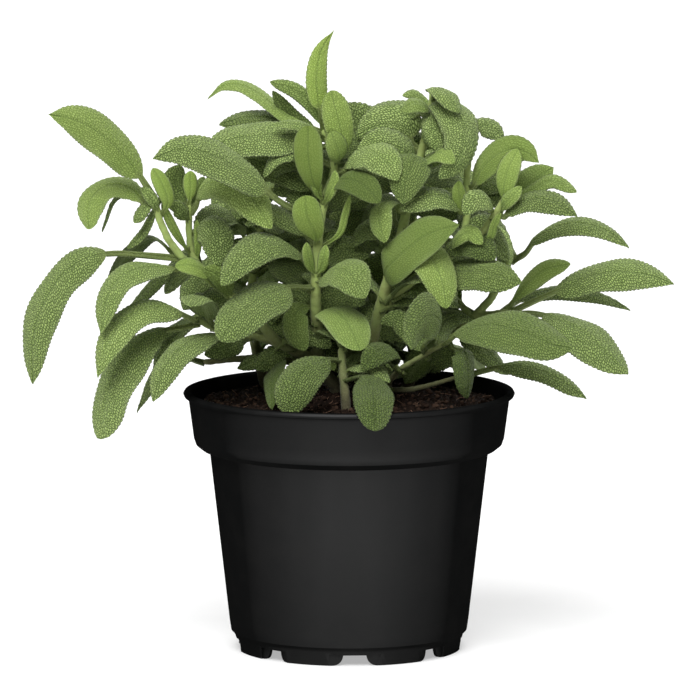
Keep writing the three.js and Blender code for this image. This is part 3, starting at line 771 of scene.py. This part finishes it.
# Each row is a small leaf: its width, the way its upper side looks, four points along it, and its
# age and painted light where they aren't the shaded ones, which are full grown with painted shade.
# The first point is moved onto the stem.
SHADED = (1, 0.4)
SMALL = {}
SMALL["middle_stem"] = [
    (14, (0.1, -0.8, 0.5), (-13, 4, 128), (-8, 10, 136), (-1, 14, 139), (7, 16, 134)),
    (13, OUT, (-11, 4, 170), (-17, 10, 178), (-23, 13, 182), (-30, 14, 178)),
    (10, (-0.4, -0.4, 0.8), (-64, -4, 153), (-72, 3, 148.5), (-82, 6, 138.5), (-92, 6, 124)),
    (8, (-0.1, -0.4, 0.9), (-54, 0, 128), (-62, 8, 129), (-72, 10, 124), (-82, 10, 117)),
    (9, (-0.6, -0.6, 0.4), (-60, -3, 130), (-68, 8, 124), (-74, 10, 116), (-77, 9, 106)),
    (5, (-0.4, -0.3, 0.8), (-76, -6, 176), (-83, 2, 181), (-91, 4, 178), (-97, 3, 164), 0.8, 0.7),
    (6.5, (0.3, -0.9, 0), (-72, -6, 172), (-70.5, -9, 177), (-72.5, -9, 184), (-76.5, -8, 190.5), 0, 0.8),
    (6, (-0.4, -0.7, 0.4), (-76, -6, 178), (-78, -7, 177), (-81, -8, 173.5), (-84, -8, 169), 0.8, 0.7),
    (5, (-0.3, -0.8, 0.3), (-75, -7, 173), (-76, -10, 177), (-78.5, -10, 180.5), (-81, -8, 183), 0.7, 0.8),
    (5.5, (-0.6, -0.6, 0.4), (-75.5, -6, 177), (-78, -4, 170), (-81, -3, 164.5), (-87, -2, 158), 0.8, 0.6),
    (3.5, (0.3, -0.9, 0.1), (-64, 0, 155), (-67.7, -3, 165), (-71, -5, 172), (-73, -6, 177), 0.2, 1),
    (3.2, (0, -0.9, 0.1), (-60, 4, 150), (-59.3, 1, 157), (-59.2, 1, 163), (-59.5, 1, 169), 0.2, 1),
    (6, (-0.2, -0.8, 0.5), (-62.5, 4, 168), (-65, 0, 172), (-68, -1, 174.5), (-70.5, -1, 174), 0.8, 0.6),
    (5.5, (0.2, -0.9, 0), (-62.5, 5, 174), (-62, 4, 179), (-62, 4, 184), (-62, 4, 188), 0, 1),
    (9, (0.2, -0.8, 0.2), (-62.5, 5, 174), (-66, 8, 178), (-68, 8, 183), (-66, 8, 190), 0.7, 0.3),
    (6, (-0.4, -0.8, 0.2), (-62, 5, 174), (-59, 9, 179), (-58, 10, 182), (-57, 10, 185), 0.5, 0.4),
    (6, (-0.5, -0.5, 0.6), (-9, 8, 202), (-14, 10, 212.5), (-21, 10, 219), (-31, 9, 222.5), 0.6, 0.9),
    (5.5, (-0.6, -0.7, 0.4), (-18, 12, 203), (-23, 14, 209), (-27.5, 14, 214.5), (-30, 14, 218.5), 0.8, 0.3),
    (13, (-0.2, -0.5, 0.8), (-10, 9, 200), (-24, 16, 206), (-38, 17, 208), (-51, 15, 205)),
    (7, (-0.1, -0.5, 0.85), (-10, 6, 202), (-16, 1, 206), (-23, -1, 207.5), (-30, -2, 207), 0.8, 1),
    (9, (0.3, -0.9, 0.2), (-3, 3, 190.5), (-3.5, -2, 195), (-5, -4, 200), (-7, -4, 204.5), 0.3, 0.8),
    (5, (0.3, -0.8, 0.3), (-10, 3, 175.5), (-12, -1, 181), (-13, -2, 186), (-14, -2, 190), 0.3, 1),
    (5, (-0.3, -0.8, 0.3), (-10, 3, 174), (-8, -2, 180), (-6, -3, 185), (-5.5, -3, 189), 0.3, 1),
    (5, (0.3, -0.8, 0.3), (-13, 1, 147), (-15, -3, 152), (-16, -5, 157), (-16.5, -5, 161), 0.3, 1),
    (5, (-0.3, -0.8, 0.3), (-13, 1, 147), (-11, -3, 151), (-10, -5, 156), (-9, -5, 160), 0.3, 1),
    (4, OUT, (-10, 12, 112), (-9, 9, 113), (-7, 7, 112), (-6, 5, 109), 0.3, 0.9),
    (11, (-0.4, -0.6, 0.6), (-13, 4, 133), (-22, 9, 140), (-28, 10, 136), (-30, 9, 127.5), 1, 0.45),
    (10, (-0.1, -0.9, 0.3), (-13, 4, 134), (-20, 0, 134), (-21, -3, 127), (-17, -4, 118), 0.5, 0.5),
    (13, (0.1, -0.9, 0.3), (-62, 4.5, 164), (-57, -1, 168), (-52, -6, 164), (-51, -8, 152), 1, 0.8),
    (8, (0, -0.7, 0.7), (-52, -1, 145), (-56, -7, 150), (-62, -10, 153), (-68, -10, 152.5), 0.2, 1),
    (8, (-0.2, -0.8, 0.4), (-46, 1, 137), (-48, -5, 144), (-52, -8, 149), (-57, -9, 151), 0.4, 0.7),
    (9, OUT, (-40, 7, 120), (-45, 12, 118.5), (-51, 13, 116.5), (-57, 13, 114)),
    (9, OUT, (-22, 8, 117), (-27, 8, 116), (-32, 8, 113), (-37, 8, 109)),
    (16, (-0.2, -0.6, 0.7), (-11, 5, 190), (-20, 11, 195), (-30, 13, 192), (-38, 14, 182)),
    (10, (0, -0.5, 0.8), (-13, 3, 160), (-22, 8, 167), (-32, 11, 172), (-42, 13, 171)),
    (12, (0, -0.9, 0.4), (-11, 6, 151), (-6, 12, 155), (0, 14, 156), (8, 15, 153), 1, 0.45),
    (11, OUT, (-28, 10, 186), (-33, 12, 190), (-39, 13, 191.5), (-46, 13, 189)),
    (11, OUT, (-6, 12, 193), (-2, 17, 197), (2, 19, 198.5), (8, 20, 197)),
    (7, (0, -0.7, 0.6), (-28, 10, 112), (-33, 10, 113), (-38, 10, 112), (-44, 10, 109)),
    (10, OUT, (-10, 8, 172), (-6, 13, 176), (-1, 15, 178), (6, 16, 176), 1, 0.45),
    (9, OUT, (-13, 4, 157), (-11, 10, 160), (-8, 12, 162), (-3, 13, 162), 1, 0.45),
    (7, (-0.4, -0.6, 0.6), (-20, 4, 193), (-24, 0, 195), (-29, -2, 193.5), (-33.5, -2, 186), 1, 0.8),
    (3, (0.1, -0.9, 0.1), (-6, 1, 158), (-3.5, 0, 164), (-1.5, 0, 171), (0.5, 0, 179), 0.2, 1),
]
SMALL["right_stem"] = [
    (11, (0.4, -0.5, 0.8), (33, 10, 216), (34, 4, 221), (38, -2, 219.5), (43, -6, 212), 0.8, 0.85),
    (15, (-0.1, -0.85, 0.5), (27, 7, 188), (22, 2, 196), (12, 0, 199), (3, 1, 196), 1, 0.85),
    (14, (0.2, -0.8, 0.5), (9, 10, 119), (13, 14, 125), (19, 17, 125), (25, 18, 119)),
    (12, (0.1, -0.8, 0.5), (24, 6, 172), (30, 12, 174), (37, 15, 173), (44, 16, 168)),
    (7, (0, -0.7, 0.7), (27, 8, 190), (33, 3, 193), (38, 1, 196), (43, 0, 194), 0.6, 0.9),
    (9, (0.1, -0.6, 0.7), (29, 6, 187), (31, -4, 194), (36, -10, 197), (41, -13, 193), 0.4, 0.95),
    (9, (0.3, -0.75, 0.6), (46, 7, 203), (50, 8, 205.5), (55, 8, 205), (60.7, 8, 200.3), 1, 0.8),
    (5, (-0.2, -0.5, 0.8), (33, 11, 212), (29.5, 12, 215.3), (25.5, 12, 217.8), (20.8, 12, 216.8), 0.6, 0.9),
    (9, (-0.2, -0.5, 0.8), (32, 10, 210), (30, 5, 214), (25, 3, 215), (20, 3, 211.5), 0.5, 0.75),
    (9, (-0.4, -0.8, 0.1), (61, -6, 175), (60, -10, 182), (61.5, -12, 190), (65.5, -12, 198.5), 0.2, 1),
    (9.5, (-0.2, -0.8, 0.5), (57, -5, 173), (54, -12, 179), (49, -15, 179), (44.5, -15, 173), 1, 0.9),
    (6, (0.2, -0.9, 0.1), (46, 3, 170), (44, -2, 176), (43, -4, 181), (43, -4, 185), 0.1, 1),
    (6, (-0.3, -0.8, 0.3), (58, -5, 173), (61, -11, 178), (64, -13, 181), (67, -13, 184), 0.4, 1),
    (6.5, (0.2, -0.6, 0.7), (62, -6, 178), (71, -4, 181.5), (79, -3, 185.3), (89, -3, 180.5), 0.5, 0.9),
    (7, (-0.1, -0.7, 0.7), (40, -2, 156), (41, -8, 162), (47, -11, 166), (52, -12, 161), 0.4, 1),
    (5, (0.9, -0.3, 0.2), (55, -4.5, 169), (61, -9, 166), (64, -11, 158), (62, -11, 149), 0.8, 1),
    (6, (0.4, -0.6, 0.5), (56, -5, 170), (58, 0, 165), (60, 2, 161), (62, 2, 157)),
    (4, (0.4, -0.9, 0.1), (53, -4, 158), (55.2, -7, 163), (56.8, -8, 168), (59, -9, 173), 0.2, 1),
    (13, (-0.2, -0.8, 0.5), (22, 12, 190), (13, 24, 198), (5, 26, 207), (-3, 26, 211.5), 1, 0.7),
    (11, (0.2, -0.5, 0.8), (45, 3, 176), (52, 9, 182), (60, 13, 184), (68, 15, 180), 1, 0.45),
    (12, (-0.1, -0.6, 0.7), (24, 6, 178), (15, 12, 184), (6, 15, 186), (-3, 16, 181), 1, 0.45),
    (10, (-0.2, -0.6, 0.6), (20, 5, 161), (12, 10, 165), (6, 12, 164), (1, 12, 157)),
    (9, (0.1, -0.8, 0.5), (50, 4, 174), (54, 9, 177), (58, 11, 178), (63, 11, 175)),
    (9, (0.1, -0.8, 0.5), (20, 14, 192), (24, 20, 196), (28, 22, 198), (34, 22, 195)),
]
SMALL["low_right_stem"] = [
    (9, (-0.3, -0.7, 0.5), (30, -15, 118), (24, -8, 126), (18, -5, 131), (12, -4, 129)),
    (9, OUT, (36, -4, 125), (40, 5, 130), (44, 7, 130.5), (49, 8, 128)),
]
SMALL["back_right_stem"] = [
    (9, (-0.4, -0.7, 0.6), (62, 25, 130), (70, 20, 141.5), (78, 17, 148), (87, 15, 150), 0.3, 0.9),
    (12, (0.5, -0.5, 0.6), (44, 33, 122), (50, 24, 118), (57, 22, 112), (63, 21, 105)),
    (12, (-0.2, -0.8, 0.4), (25, 42, 112), (20, 34, 122), (18, 30, 127), (15, 28, 119)),
    (11, (0.4, 0.6, 0.5), (38, 35, 116), (34, 28, 116), (28, 26, 110), (22, 24, 101), 1, 0.6),
    (10, OUT, (30, 30, 106), (34, 23, 111), (39, 21, 112.5), (46, 20, 109), 1, 0.45),
    (14, (0.3, 0.4, 0.9), (30, 37, 108), (38, 50, 113), (47, 66, 108), (54, 78, 98), 1, 0.9),
    (12, (0, 0.4, 0.9), (24, 46, 177), (24, 55, 184), (25, 66, 184), (26, 75, 178), 0.8, 0.95),
    (13, (0.4, 0.4, 0.8), (26, 50, 158), (36, 58, 162), (47, 67, 155), (56, 74, 142), 1, 0.9),
]
SMALL["back_left_stem"] = [
    (12, (0.2, 0.5, 0.8), (-34, 44, 168), (-30, 54, 175), (-23, 66, 175), (-16, 74, 168), 0.8, 0.95),
    (13, (-0.4, 0.4, 0.8), (-37, 44, 150), (-42, 54, 155), (-51, 66, 150), (-60, 74, 138), 1, 0.9),
]


def small_leaves(material):
    """The small leaves of each stem, as one piece."""
    for stem, rows in SMALL.items():
        tree = tree_of([NODES[stem]])
        shapes = []
        for i, (width, face, *guides) in enumerate(rows):
            # a painted light below 1 paints shade into the small leaf's colour
            age, tone = guides[4:] or SHADED
            guides[0] = tuple(tree.find_nearest(Vector(guides[0]))[0])
            leaf = free_leaf(guides[:4], face, width)
            fresh = 0.45 * max(0, 1 - 1.6 * age)
            shapes.append(FineLeaf(leaf, age, seed=50 + i * 2.3, cell=SMALL_CELL).shape(tone, fresh))
        show(f"{stem}_small_leaves", joined(shapes), material)


# ---- Inner leaves ----
THICKET_SEED = 11
INNER_CELL = 1.0
INNER_PETIOLE = 0.16
FILL_TRIES = 6000
FILL_STEP = 3.0
FILL_LEAST = 2  # open spots that a filling leaf must cover
FILL_SLIMNESS = 0.4  # width as a share of length
FLAT_TRIES = 2600
FLAT_SLIMNESS = 0.36
CLEAR_OF_DRAWN = 0.8  # from the leaves drawn before
CLEAR_OF_INNER = 1.9  # from other inner leaves
LOWEST_FOOT = 103
BACK_OF_CROWN = 76
SHADED_BEFORE = 45  # inner leaves that end in front of this get more painted shade than those farther back
SEEN_FROM = np.array([0, 0.14, 1.0])  # how high a place looks from the photograph's side
# The crown's outline from the front: across, its lower edge and its upper edge.
CROWN = np.array([
    (-72, 136, 150), (-60, 130, 172), (-48, 125, 196), (-30, 118, 203), (-12, 110, 206),
    (4, 104, 200), (20, 103, 212), (34, 104, 214), (42, 107, 207), (45, 142, 205), (61, 145, 186),
    (66, 150, 160), (73, 155, 156),
])


def inner_guides(foot, random, flat):
    """The points that an inner leaf from a foot on a stem runs through."""
    turn = random.uniform(0, 2 * math.pi)
    out = np.array([math.cos(turn), math.sin(turn), 0])
    length = random.uniform(22, 44)
    lift = random.uniform(0.1, 0.9)
    fall = random.uniform(0.0, 0.5) if flat else random.uniform(0.2, 1.0)
    up = np.array([0, 0, 1.0])
    return np.array([
        foot,
        foot + length * (0.28 * out + 0.3 * lift * up),
        foot + length * (0.6 * out + (0.5 * lift - 0.2 * fall) * up),
        foot + length * (0.85 * out + (0.5 * lift - 0.75 * fall) * up),
    ])


def inner_face(chord, length, flat):
    """The way an inner leaf's upper side looks: up if it is flat, else to the front."""
    if not flat:
        return np.array([0.2 * chord[0] / length, -0.9, 0.6])
    lean = 0.45 if chord[1] > 0 else -0.35
    return 0.3 * unit(chord) + np.array([0, lean, 1])


def crown_edges(across):
    """The crown's lower and upper edge."""
    return [np.interp(across, CROWN[:, 0], edge) for edge in (CROWN[:, 1], CROWN[:, 2])]


def inside_crown(points):
    """True if all the points lie in the crown, seen from the front and in depth."""
    x, y, _ = points.T
    seen = points @ SEEN_FROM
    low, high = crown_edges(x)
    if np.abs(x).max() >= CROWN[-1, 0] or y.max() >= BACK_OF_CROWN:
        return False
    return (seen > low).all() and (seen < high).all()


def open_spots(front):
    """Places inside the crown where the photograph's eye would look right through."""
    spots = []
    for across in np.arange(CROWN[0, 0], CROWN[-1, 0], FILL_STEP):
        for up in np.arange(*crown_edges(across), FILL_STEP):
            eye = Vector((across, 0, up)) + 200 * TO_PHOTO
            if front.ray_cast(eye, -TO_PHOTO)[0] is None:
                spots.append((across, up))
    return np.array(spots)


def covered(spots, run, side):
    """Which spots lie behind a leaf with that spine and that half-width."""
    line = np.column_stack([run[:, 0], run @ SEEN_FROM])
    reach = 0.8 * math.hypot(side[0], side @ SEEN_FROM)
    apart = np.linalg.norm(spots[:, None] - line[None], axis=-1).min(axis=1)
    return apart < reach


def feet_on(stem):
    """The points of a CAD stem that an inner leaf may start from."""
    points = vectors_of(NODES[stem].data.vertices, "co") / MM
    return points[points[:, 2] > LOWEST_FOOT]


class Thicket:
    """Leaves inside and behind the plant, where the photograph shows leafy shade."""

    def __init__(self):
        names = ("_blade", "_small_leaves")
        self.front = tree_of([piece for piece in bpy.data.objects if piece.name.endswith(names)])
        self.random = np.random.default_rng(THICKET_SEED)
        self.taken = []
        self.grown = {stem: [] for stem in STEMS}
        self.feet = {stem: feet_on(stem) for stem in STEMS}

    def has_room(self, places):
        """True if a leaf stays in the crown, hides no drawn leaf and is clear of all others."""
        if not inside_crown(places):
            return False
        if any(self.front.ray_cast(Vector(place), -TO_PHOTO)[0] for place in places):
            return False
        if min(self.front.find_nearest(Vector(place))[3] for place in places) < CLEAR_OF_DRAWN:
            return False
        if not self.taken:
            return True
        apart = np.linalg.norm(np.vstack(self.taken)[None] - places[:, None], axis=-1)
        return apart.min() > CLEAR_OF_INNER

    def attempt(self, stem, flat, spots=None):
        """Grows a leaf if it has room and hides enough spots. Returns the spots still open."""
        foot = self.feet[stem][self.random.integers(len(self.feet[stem]))]
        guides = inner_guides(foot, self.random, flat)
        far = lengths_along(guides)
        run = interpolate(far, guides, np.linspace(0.3, 1, 8) * far[-1])
        chord = guides[-1] - guides[0]
        face = inner_face(chord, far[-1], flat)
        width = (FLAT_SLIMNESS if flat else FILL_SLIMNESS) * far[-1]
        side = width / 2 * unit(np.cross(chord, face))
        hidden = None if spots is None else covered(spots, run, side)
        if hidden is not None and hidden.sum() < FILL_LEAST:
            return spots
        places = np.vstack([run, run[2:-1] + side, run[2:-1] - side])
        if not self.has_room(places):
            return spots
        self.taken.append(places)
        leaf = free_leaf(guides, face, width, INNER_PETIOLE)
        fine = FineLeaf(leaf, 1, seed=90 + len(self.taken) * 1.3, cell=INNER_CELL)
        # painted shade: inner leaves that end nearer the front are painted darker
        tone = 0.75 if run[-1, 1] < SHADED_BEFORE else 0.95
        self.grown[stem].append(fine.shape(tone, 0))
        return spots if hidden is None else spots[~hidden]

    def fill(self, material):
        """Leaves over the open spots first, then flat ones throughout."""
        spots = open_spots(self.front)
        weights = np.array([len(self.feet[stem]) for stem in STEMS], float)
        for _ in range(FILL_TRIES):
            stem = STEMS[self.random.choice(len(STEMS), p=weights / weights.sum())]
            spots = self.attempt(stem, False, spots)
        for _ in range(FLAT_TRIES):
            self.attempt(STEMS[self.random.integers(len(STEMS))], True)
        for stem, shapes in self.grown.items():
            if shapes:
                show(f"{stem}_inner_leaves", joined(shapes), material)


# ---- Compost ----
COMPOST_DEPTH = 8  # how deep the drawn compost goes
COMPOST_RINGS = 90
COMPOST_SIDES = 260
COMPOST_GAP = 0.1  # from the CAD soil's outside
COMPOST_SINK = 2.2  # from the middle to the wall
CRUMBS = 1100
FIBRES = 260
BITS_SEED = 4
BIT_RINGS = 5
BIT_INSET = 2.5  # how far the bits stay from the compost's edge
CRUMB_THICKNESS = np.array([0.25, 0.8, 1, 0.75, 0.2])  # at each ring, as a share of its size
FIBRE_THICKNESS = 0.14


def compost_height(x, y, radius, top):
    """The compost's surface: a low heap of crumbs that sinks towards the pot's wall."""
    lumps = swellings(x * 0.8 + 60, y * 0.8 + 60, 5)
    grains = swellings(x * 1.6 + 60, y * 1.6 + 60, 8)
    heap = top - 1.35 - COMPOST_SINK * (np.hypot(x, y) / radius) ** 2
    heap = heap + 0.5 * np.sin(x / 6.1 + 1) * np.sin(y / 5.3)
    return heap + 1.5 * lumps + 0.7 * grains


def compost(material):
    """The compost's crumbly surface on a plain plug, and the bits that lie on it."""
    low, high = (np.array(corner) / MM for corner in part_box("potting_soil"))
    radius = (high[0] - low[0]) / 2 - COMPOST_GAP
    top = high[2]
    turns = np.arange(COMPOST_SIDES) * 2 * math.pi / COMPOST_SIDES
    out, turn = np.meshgrid(np.linspace(0, radius, COMPOST_RINGS + 1), turns, indexing="ij")
    x, y = (out * np.cos(turn)).ravel(), (out * np.sin(turn)).ravel()
    surface = np.column_stack([x, y, compost_height(x, y, radius, top)])
    edge = surface[-COMPOST_SIDES:, :2]
    floor = np.column_stack([edge * 0.99, np.full(COMPOST_SIDES, top - COMPOST_DEPTH)])
    points = np.vstack([surface, floor])
    grid = np.arange(len(points)).reshape(-1, COMPOST_SIDES)
    faces = ring_faces(grid)[:, [0, 3, 2, 1]].tolist()
    faces.append(grid[-1][::-1].tolist())
    shape = (points, faces, {"bright": np.zeros(len(points))})
    show("compost_surface", shape, material, ["potting_soil"])
    random = np.random.default_rng(BITS_SEED)
    bits = [compost_bit(random, radius, top, i >= CRUMBS) for i in range(CRUMBS + FIBRES)]
    show("compost_bits", joined(bits), material)


def tube(path, thick, sides):
    """Points and faces of a bent rod along a path, closed at both ends."""
    along = unit(np.gradient(path, axis=0))
    side = squared(np.array([0.3, 0.5, 0.8]), along)
    other = np.cross(along, side)
    turn = np.arange(sides) * 2 * math.pi / sides
    ring = side[:, None] * np.cos(turn)[:, None] + other[:, None] * np.sin(turn)[:, None]
    points = (path[:, None] + ring * thick[:, None, None]).reshape(-1, 3)
    return points, tube_faces(np.arange(len(points)).reshape(len(path), sides))


def compost_bit(random, radius, top, is_fibre):
    """A loose crumb or a short fibre, anywhere on the compost."""
    out = (radius - BIT_INSET) * math.sqrt(random.random())
    turn = random.uniform(0, 2 * math.pi)
    x, y = out * math.cos(turn), out * math.sin(turn)
    lie = random.uniform(0, math.pi)
    size = random.uniform(1.2, 2.6) if is_fibre else random.uniform(0.4, 1.3)
    way = np.array([math.cos(lie), math.sin(lie), random.uniform(-0.3, 0.5)])
    bow = np.array([-math.sin(lie), math.cos(lie), 0.4]) * random.uniform(-0.4, 0.4)
    ground = compost_height(np.array([x]), np.array([y]), radius, top)[0]
    lift = 0.15 if is_fibre else 0.3 * size
    t = np.linspace(-1, 1, BIT_RINGS)[:, None]
    path = np.array([x, y, ground + lift]) + size * (t * way + (1 - t**2) * bow)
    if is_fibre:
        points, faces = tube(path, np.full(BIT_RINGS, FIBRE_THICKNESS), 3)
        shade = random.uniform(0.15, 0.9)
    else:
        thick = size * CRUMB_THICKNESS * random.uniform(0.5, 1.1, BIT_RINGS)
        points, faces = tube(path, thick, 5)
        shade = random.uniform(0, 0.35) ** 1.5
    return points, faces, {"bright": np.full(len(points), shade)}


# ---- Pot ----
POT_SIDES = 48  # the CAD pot's flat sides
CUTS = 3  # parts that each flat side is cut into before it is rounded
EDGE_EASE = 0.3  # how far a sharp edge of the pot is cut back


def rounded(mesh):
    """Cuts up the flat sides of the CAD pot's mesh and pushes them out onto true circles."""
    shape = bmesh.new()
    shape.from_mesh(mesh)
    bmesh.ops.remove_doubles(shape, verts=shape.verts, dist=1e-6)
    flat = 2 * math.pi / POT_SIDES
    for i in range(POT_SIDES * CUTS // 2):
        if i % CUTS:
            turn = i * flat / CUTS
            square = (-math.sin(turn), math.cos(turn), 0)
            everything = [*shape.verts, *shape.edges, *shape.faces]
            bmesh.ops.bisect_plane(shape, geom=everything, dist=1e-7, plane_co=(0, 0, 0), plane_no=square)
    for vertex in shape.verts:
        off = math.atan2(vertex.co.y, vertex.co.x) % flat - flat / 2
        grow = math.cos(off) / math.cos(flat / 2)
        vertex.co.x *= grow
        vertex.co.y *= grow
    shape.to_mesh(mesh)
    shape.free()


def pot(material):
    """The CAD pot, made truly round, with its sharp edges eased."""
    rough = rough_copy("pot")
    rounded(rough.data)
    flat = rough.modifiers.new("flat", "DECIMATE")
    flat.decimate_type = "DISSOLVE"
    flat.angle_limit = math.radians(0.3)
    ease = rough.modifiers.new("ease", "BEVEL")
    ease.width = EDGE_EASE * MM
    ease.segments = 2
    ease.limit_method = "ANGLE"
    ease.angle_limit = math.radians(28)
    present("pot_moulded", applied(rough), material, ["pot"])


# ---- Stage ----
FLOOR_SIZE = 8.0
WORLD_LIGHT = 0.24
LENS = 400
SENSOR_WIDTH = 36
DISTANCE = 3.03
PICTURE_CENTRE = Vector((-0.0004, 0, 0.1186))


def stage():
    """A plain pale floor."""
    bpy.ops.mesh.primitive_plane_add(size=FLOOR_SIZE)
    floor = bpy.context.object
    floor.name = "floor"
    floor.data.materials.append(floor_material())


def soft_light(name, way, strength, spread):
    """A broad light from far off. way is where it shines to, and spread is in degrees."""
    light = bpy.data.lights.new(name, "SUN")
    light.energy = strength
    light.angle = math.radians(spread)
    lamp = bpy.data.objects.new(name, light)
    lamp.rotation_euler = Vector(way).to_track_quat("-Z", "Y").to_euler()
    bpy.context.collection.objects.link(lamp)


def studio_world():
    """A soft white world that the camera sees at its full white."""
    world = bpy.data.worlds.new("studio")
    world.use_nodes = True
    nodes, links = world.node_tree.nodes, world.node_tree.links
    seen = nodes.new("ShaderNodeLightPath").outputs["Is Camera Ray"]
    strength = nodes.new("ShaderNodeMapRange")
    strength.inputs["To Min"].default_value = WORLD_LIGHT
    strength.inputs["To Max"].default_value = 1.0
    nodes["Background"].inputs["Color"].default_value = (1, 1, 1, 1)
    links.new(seen, strength.inputs["Value"])
    links.new(strength.outputs["Result"], nodes["Background"].inputs["Strength"])
    bpy.context.scene.world = world


def camera():
    """A far camera at the photograph's angle."""
    eye = bpy.data.objects.new("camera", bpy.data.cameras.new("camera"))
    eye.data.lens = LENS
    eye.data.sensor_width = SENSOR_WIDTH
    eye.data.clip_end = 50
    eye.location = PICTURE_CENTRE + DISTANCE * TO_PHOTO
    eye.rotation_euler = (-TO_PHOTO).to_track_quat("-Z", "Y").to_euler()
    bpy.context.collection.objects.link(eye)
    bpy.context.scene.camera = eye


leaf_look = leaf_material()
grow_leaves(leaf_look)
small_leaves(leaf_look)
Thicket().fill(leaf_look)
stem_look = stem_material()
for stem in STEMS:
    grow_stem(stem, stem_look)
compost(compost_material())
pot(pot_material())
stage()
studio_world()
soft_light("key", (0.2, 0.72, -1.0), 3.6, 45)
soft_light("back_fill", (-0.3, -0.8, -0.6), 1.9, 70)
camera()
bpy.context.scene.view_settings.view_transform = "Standard"
